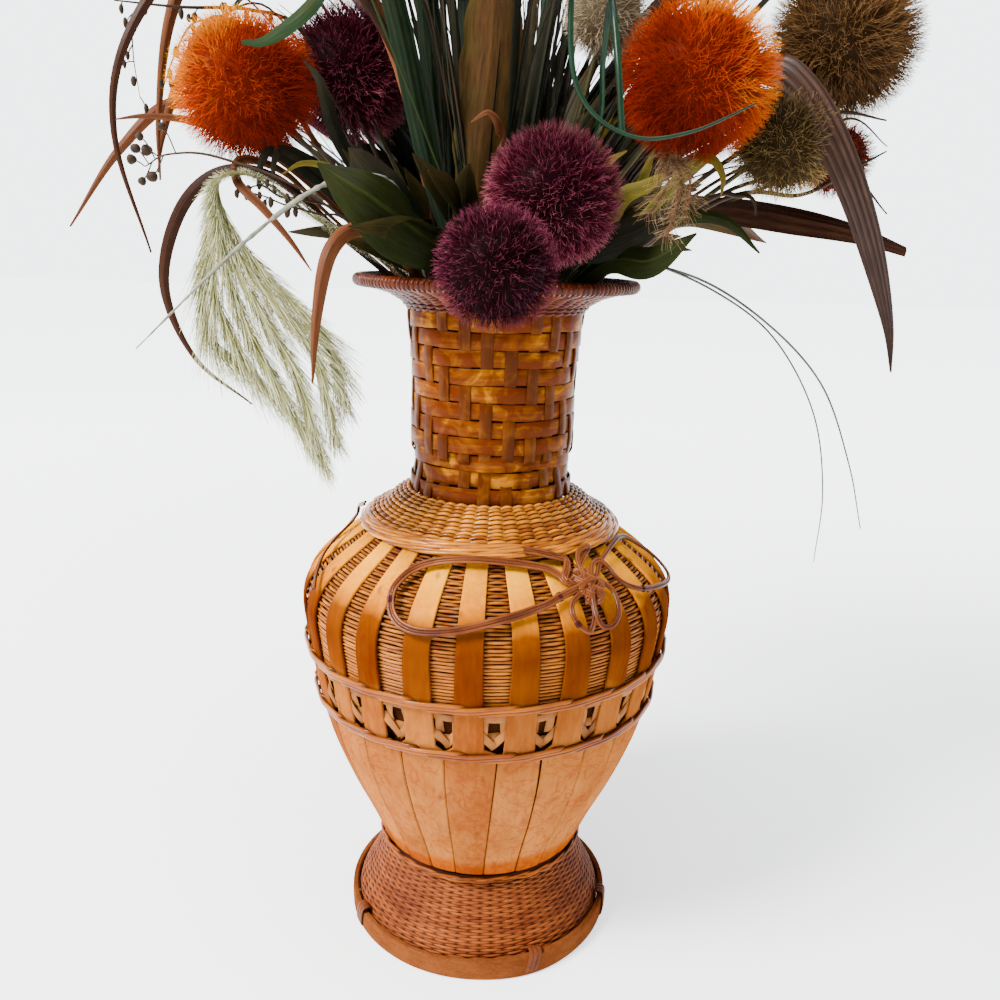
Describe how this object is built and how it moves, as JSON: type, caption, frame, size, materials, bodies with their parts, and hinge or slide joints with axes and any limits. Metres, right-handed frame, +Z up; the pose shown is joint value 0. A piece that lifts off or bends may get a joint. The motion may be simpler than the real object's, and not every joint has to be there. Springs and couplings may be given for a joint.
{
  "type": "dried grass arrangement in vase",
  "caption": "Dried grasses, leaves and spiny pompom flower heads standing in a woven split-bamboo basket vase with a narrow neck and a flared rim.",
  "frame": {"origin": "floor level under the centre of the vase's round foot, which is the middle of the underside of the bounding box", "axes": "+Z up, -Y towards the front with the cane knot, +X to the right as seen from the front"},
  "size_m": [0.473, 0.2809, 0.756],
  "materials": {
    "light_bamboo_hoop": "satin split bamboo",
    "foot_cane": "matt twined cane",
    "waist_cane": "satin plaited cane",
    "wicker": "matt round wicker",
    "golden_bamboo": "glossy varnished bamboo",
    "band_cane": "satin round cane",
    "shoulder_cane": "glossy round cane",
    "amber_plait": "glossy plaited bamboo",
    "collar_cane": "satin round cane",
    "rim_cane": "satin wrapped cane",
    "loop_cane": "satin round cane",
    "dark_blade": "dry leaf, satin",
    "copper_blade": "dry leaf, satin",
    "iris_green": "fresh leaf, satin",
    "ribbed_grey": "dry ribbed leaf, satin",
    "leaf_green": "fresh leaf, satin",
    "olive_leaf": "dry leaf, matt",
    "ribbon_green": "fresh leaf, satin",
    "green_grass_wire": "thin grass stem, satin",
    "grey_grass_wire": "thin grass stem, satin",
    "lichen_bark": "rough bark with lichen",
    "plume_cream": "soft plume hairs",
    "seed_brown": "matt dry berries",
    "dark_grass": "dry grass spikes, matt",
    "orange_hair": "fine stiff hairs, matt",
    "burgundy_hair": "fine stiff hairs, matt",
    "tan_hair": "fine stiff hairs, matt",
    "cream_hair": "fine stiff hairs, matt",
    "rust_hair": "fine stiff hairs, matt"
  },
  "bodies": {
    "root": {"back_blade_left": "iris_green", "back_blade_right": "dark_blade", "back_leaf_left": "leaf_green", "back_leaf_right": "olive_leaf", "bamboo_staves": "golden_bamboo", "berry_sprig": "seed_brown", "broad_leaf_left": "leaf_green", "brown_hook_blade": "copper_blade", "cane_knot": "loop_cane", "cane_loop_left": "loop_cane", "cane_loop_right": "loop_cane", "collar_weave": "collar_cane", "copper_blade_hanging": "copper_blade", "copper_blade_side": "copper_blade", "dark_blade_curved": "dark_blade", "dark_blade_left": "dark_blade", "dark_blade_right": "dark_blade", "foot_hoop": "light_bamboo_hoop", "foot_skirt": "foot_cane", "grass_wire_long_left": "grey_grass_wire", "grass_wire_long_right": "grey_grass_wire", "grass_wire_loop": "green_grass_wire", "green_leaf_right": "leaf_green", "inner_basket": "wicker", "iris_blade_left": "iris_green", "iris_blade_middle": "iris_green", "iris_blade_right": "iris_green", "lichen_twig": "lichen_bark", "lower_band": "band_cane", "neck_weave": "amber_plait", "olive_leaf_right": "olive_leaf", "olive_leaf_upright": "olive_leaf", "plume_pampas": "plume_cream", "pompom_cream": "cream_hair", "pompom_cream_back": "cream_hair", "pompom_orange_back": "orange_hair", "pompom_orange_left": "orange_hair", "pompom_orange_right": "orange_hair", "pompom_orange_top": "orange_hair", "pompom_purple_back": "burgundy_hair", "pompom_purple_left": "burgundy_hair", "pompom_purple_low": "burgundy_hair", "pompom_purple_middle": "burgundy_hair", "pompom_purple_top": "burgundy_hair", "pompom_rust_back": "rust_hair", "pompom_rust_right": "rust_hair", "pompom_tan_back": "tan_hair", "pompom_tan_high": "tan_hair", "pompom_tan_low": "tan_hair", "pompom_tan_top": "tan_hair", "ribbed_blade": "ribbed_grey", "ribbon_leaf": "ribbon_green", "rim_binding": "rim_cane", "shoulder_weave": "shoulder_cane", "tall_grass_back": "dark_grass", "tall_grass_middle": "dark_grass", "upper_band": "band_cane", "waist_band": "waist_cane"}
  },
  "joints": []
}
